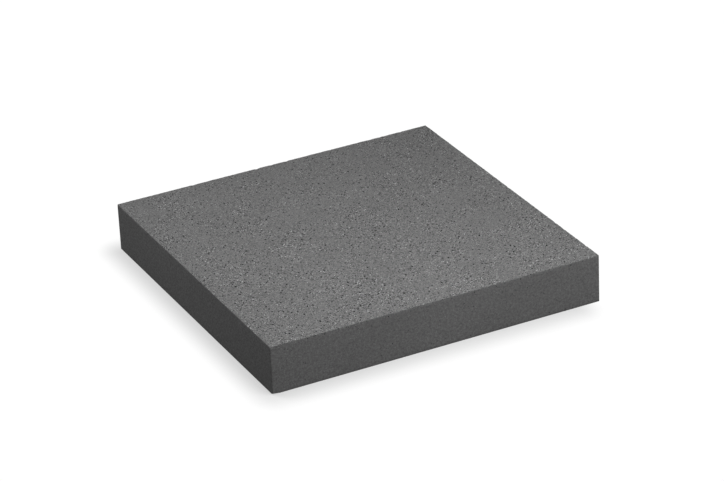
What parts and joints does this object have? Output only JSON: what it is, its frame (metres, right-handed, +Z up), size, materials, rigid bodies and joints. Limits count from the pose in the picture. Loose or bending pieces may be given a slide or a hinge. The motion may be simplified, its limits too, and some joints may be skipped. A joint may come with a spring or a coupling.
{
  "type": "pillar cap",
  "caption": "Flat square concrete pillar cap with straight sides, crisp arrises and a drip groove round its underside, to cover the head of a masonry pillar.",
  "frame": {"origin": "centre of the underside, the bed face that lies on the pillar", "axes": "+Z up out of the top face; X and Y along the two sides of the square"},
  "size_m": [0.49, 0.49, 0.07],
  "materials": {
    "concrete": "matte dark grey cast concrete, fine open grain on the top face, closed and smooth on the sides"
  },
  "bodies": {
    "root": {"pillar_cap": "concrete"}
  },
  "joints": []
}
